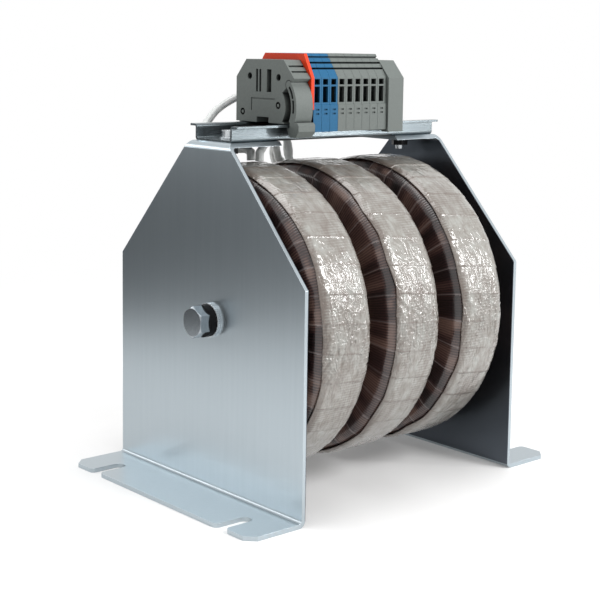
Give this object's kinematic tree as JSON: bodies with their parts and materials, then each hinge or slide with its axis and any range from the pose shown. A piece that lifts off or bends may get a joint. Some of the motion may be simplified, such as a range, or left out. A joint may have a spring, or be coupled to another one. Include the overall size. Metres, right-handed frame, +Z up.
{
  "type": "three phase toroidal reactor",
  "caption": "Power reactor of toroidal coils clamped on one bolt between two bent sheet steel end plates, with a terminal strip on a rail across the top.",
  "frame": {"origin": "centre of the footprint, on the plane that the feet stand on; the bolt axis lies at y = 0", "axes": "+X along the bolt from the head to the nut, +Z up, +Y completes a right-handed frame; the terminals' lead side faces +Y"},
  "size_m": [0.195, 0.144, 0.2034],
  "materials": {
    "zinc_sheet": "satin",
    "zinc_fasteners": "satin",
    "bolt_steel": "satin",
    "black_steel": "satin",
    "spring_steel": "satin",
    "tinned_copper": "satin",
    "core_metal": "satin",
    "insulating_tube": "matte",
    "black_plastic": "matte",
    "winding": "gloss",
    "winding_wire": "gloss",
    "film_tape": "gloss",
    "insulating_board": "matte",
    "blue_plastic": "satin",
    "grey_plastic": "satin",
    "orange_plastic": "satin",
    "lead_sleeving": "satin"
  },
  "bodies": {
    "frame_and_coils": {"front_end_plate": "zinc_sheet", "back_end_plate": "zinc_sheet", "through_bolt": "bolt_steel", "bolt_sleeve": "insulating_tube", "black_washer": "black_plastic", "flat_washers": "zinc_fasteners", "spring_washer": "bolt_steel", "bolt_nut": "zinc_fasteners", "core_1": "core_metal", "core_2": "core_metal", "core_3": "core_metal", "winding_1": "winding", "winding_2": "winding", "winding_3": "winding", "turns_1": "winding_wire", "turns_2": "winding_wire", "turns_3": "winding_wire", "rim_tape_1": "film_tape", "rim_tape_2": "film_tape", "rim_tape_3": "film_tape", "centre_bush_1": "black_plastic", "centre_bush_2": "black_plastic", "centre_bush_3": "black_plastic", "front_pad": "insulating_board", "coil_spacer_1": "insulating_board", "coil_spacer_2": "insulating_board", "rear_spacer": "insulating_board", "din_rail": "zinc_sheet", "rail_screws": "zinc_fasteners", "rail_washers": "zinc_fasteners", "rail_nuts": "black_steel", "blue_terminal_1": "blue_plastic", "blue_terminal_2": "blue_plastic", "blue_terminal_3": "blue_plastic", "grey_terminal_1": "grey_plastic", "grey_terminal_2": "grey_plastic", "grey_terminal_3": "grey_plastic", "grey_terminal_4": "grey_plastic", "grey_terminal_5": "grey_plastic", "grey_terminal_6": "grey_plastic", "terminal_current_bars": "tinned_copper", "terminal_clamp_springs": "spring_steel", "separator_plate": "orange_plastic", "terminal_end_plate": "grey_plastic", "lead_1": "lead_sleeving", "lead_2": "lead_sleeving", "lead_3": "lead_sleeving", "lead_4": "lead_sleeving", "lead_5": "lead_sleeving", "lead_6": "lead_sleeving", "lead_ferrules": "tinned_copper"},
    "front_clamp": {"front_clamp_body": "grey_plastic"},
    "front_latch": {"front_clamp_latch": "grey_plastic"},
    "rear_clamp": {"rear_clamp_body": "grey_plastic"},
    "rear_latch": {"rear_clamp_latch": "grey_plastic"}
  },
  "joints": [
    {"name": "front_clamp_slide", "type": "slide", "parent": "frame_and_coils", "child": "front_clamp", "axis": [-1, 0, 0], "range_m": [0, 0.027]},
    {"name": "front_latch_hinge", "type": "hinge", "parent": "front_clamp", "child": "front_latch", "pos_m": [-0.02945, -0.01396, 0.18891], "axis": [-1, 0, 0], "range_deg": [0, 6], "stiffness_Nm_per_rad": 0.2, "springref_deg": -2.86},
    {"name": "rear_clamp_slide", "type": "slide", "parent": "frame_and_coils", "child": "rear_clamp", "axis": [1, 0, 0], "range_m": [0, 0.026]},
    {"name": "rear_latch_hinge", "type": "hinge", "parent": "rear_clamp", "child": "rear_latch", "pos_m": [0.03045, 0.01996, 0.18891], "axis": [1, 0, 0], "range_deg": [0, 6], "stiffness_Nm_per_rad": 0.2, "springref_deg": -2.86}
  ]
}
